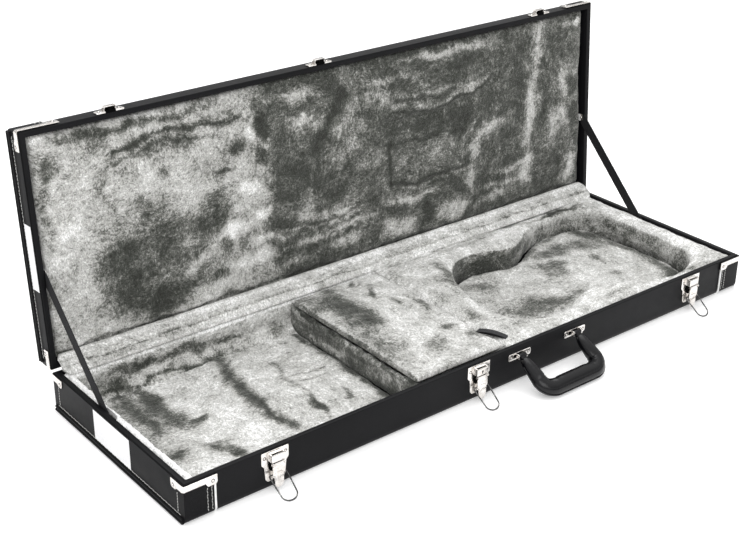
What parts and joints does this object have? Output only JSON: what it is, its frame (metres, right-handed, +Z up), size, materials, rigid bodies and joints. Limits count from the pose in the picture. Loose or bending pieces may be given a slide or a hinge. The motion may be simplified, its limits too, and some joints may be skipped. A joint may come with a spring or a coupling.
{
  "type": "guitar case",
  "caption": "Rectangular hard-shell electric guitar case lying open, with plush padding, leather-capped ends, nickel latches and corner clamps, a carry handle and lid stay straps.",
  "frame": {"origin": "centre of the underside of the base, on the surface the case lies on", "axes": "+X along the case's length towards the body end, +Y from the latches towards the hinges, +Z up"},
  "size_m": [1.078, 0.4775, 0.4094],
  "materials": {
    "black_vinyl": "satin black grained vinyl glued over plywood",
    "black_leather": "satin black leather",
    "nickel": "polished nickel plate",
    "grey_plush": "matte crushed plush over foam",
    "black_webbing": "matte woven webbing",
    "black_ribbon": "satin ribbon",
    "white_label": "matte white paper"
  },
  "bodies": {
    "base": {"base_shell": "black_vinyl", "base_left_end": "black_vinyl", "base_right_end": "black_vinyl", "base_left_end_cap": "black_leather", "base_right_end_cap": "black_leather", "base_corner_front_left": "nickel", "base_corner_front_right": "nickel", "base_corner_rear_left": "nickel", "base_corner_rear_right": "nickel", "base_label": "white_label", "latch_plate_left": "nickel", "latch_plate_centre": "nickel", "latch_plate_right": "nickel", "handle_plate_left": "nickel", "handle_plate_right": "nickel", "headstock_pad": "grey_plush", "bay_side_padding": "grey_plush", "compartment_left_wall": "grey_plush", "compartment_right_wall": "grey_plush", "compartment_floor_pad": "grey_plush", "body_block": "grey_plush", "cavity_pad": "grey_plush", "hinge_gusset": "grey_plush", "stay_strap_left": "black_webbing", "stay_strap_right": "black_webbing", "strap_clip_base_left": "nickel", "strap_clip_base_right": "nickel", "hinge_base_leaf_left": "nickel", "hinge_base_leaf_centre": "nickel", "hinge_base_leaf_right": "nickel"},
    "lid": {"lid_shell": "black_vinyl", "lid_left_end": "black_vinyl", "lid_right_end": "black_vinyl", "lid_left_end_cap": "black_leather", "lid_right_end_cap": "black_leather", "lid_corner_front_left": "nickel", "lid_corner_front_right": "nickel", "lid_corner_rear_left": "nickel", "lid_corner_rear_right": "nickel", "lid_label": "white_label", "lid_liner": "grey_plush", "latch_catch_left": "nickel", "latch_catch_centre": "nickel", "latch_catch_right": "nickel", "strap_clip_lid_left": "nickel", "strap_clip_lid_right": "nickel", "hinge_lid_leaf_left": "nickel", "hinge_lid_leaf_centre": "nickel", "hinge_lid_leaf_right": "nickel"},
    "compartment_door": {"compartment_lid": "grey_plush", "compartment_pull_tab": "black_ribbon"},
    "handle": {"handle_grip": "black_leather"},
    "lever_left": {"latch_lever_left": "nickel"},
    "bail_left": {"latch_bail_left": "nickel"},
    "lever_centre": {"latch_lever_centre": "nickel"},
    "bail_centre": {"latch_bail_centre": "nickel"},
    "lever_right": {"latch_lever_right": "nickel"},
    "bail_right": {"latch_bail_right": "nickel"}
  },
  "joints": [
    {"name": "lid_hinge", "type": "hinge", "parent": "base", "child": "lid", "pos_m": [0, 0.173, 0.06015], "axis": [1, 0, 0], "range_deg": [0, 94.3], "deforming": ["stay_strap_left", "stay_strap_right", "hinge_gusset"]},
    {"name": "compartment_hinge", "type": "hinge", "parent": "base", "child": "compartment_door", "pos_m": [-0.151, 0, 0.052], "axis": [0, 1, 0], "range_deg": [-100, 0]},
    {"name": "handle_hinge", "type": "hinge", "parent": "base", "child": "handle", "pos_m": [0.088, -0.1755, 0.046], "axis": [-1, 0, 0], "range_deg": [0, 105]},
    {"name": "lever_hinge_left", "type": "hinge", "parent": "base", "child": "lever_left", "pos_m": [-0.4, -0.179, 0.041], "axis": [1, 0, 0], "range_deg": [-150, 0]},
    {"name": "bail_hinge_left", "type": "hinge", "parent": "lever_left", "child": "bail_left", "pos_m": [-0.4, -0.1755, 0.024], "axis": [-1, 0, 0], "range_deg": [0, 126.3]},
    {"name": "lever_hinge_centre", "type": "hinge", "parent": "base", "child": "lever_centre", "pos_m": [-0.049, -0.179, 0.041], "axis": [1, 0, 0], "range_deg": [-150, 0]},
    {"name": "bail_hinge_centre", "type": "hinge", "parent": "lever_centre", "child": "bail_centre", "pos_m": [-0.049, -0.1755, 0.024], "axis": [-1, 0, 0], "range_deg": [0, 126.3]},
    {"name": "lever_hinge_right", "type": "hinge", "parent": "base", "child": "lever_right", "pos_m": [0.412, -0.179, 0.041], "axis": [1, 0, 0], "range_deg": [-150, 0]},
    {"name": "bail_hinge_right", "type": "hinge", "parent": "lever_right", "child": "bail_right", "pos_m": [0.412, -0.1755, 0.024], "axis": [-1, 0, 0], "range_deg": [0, 126.3]}
  ]
}
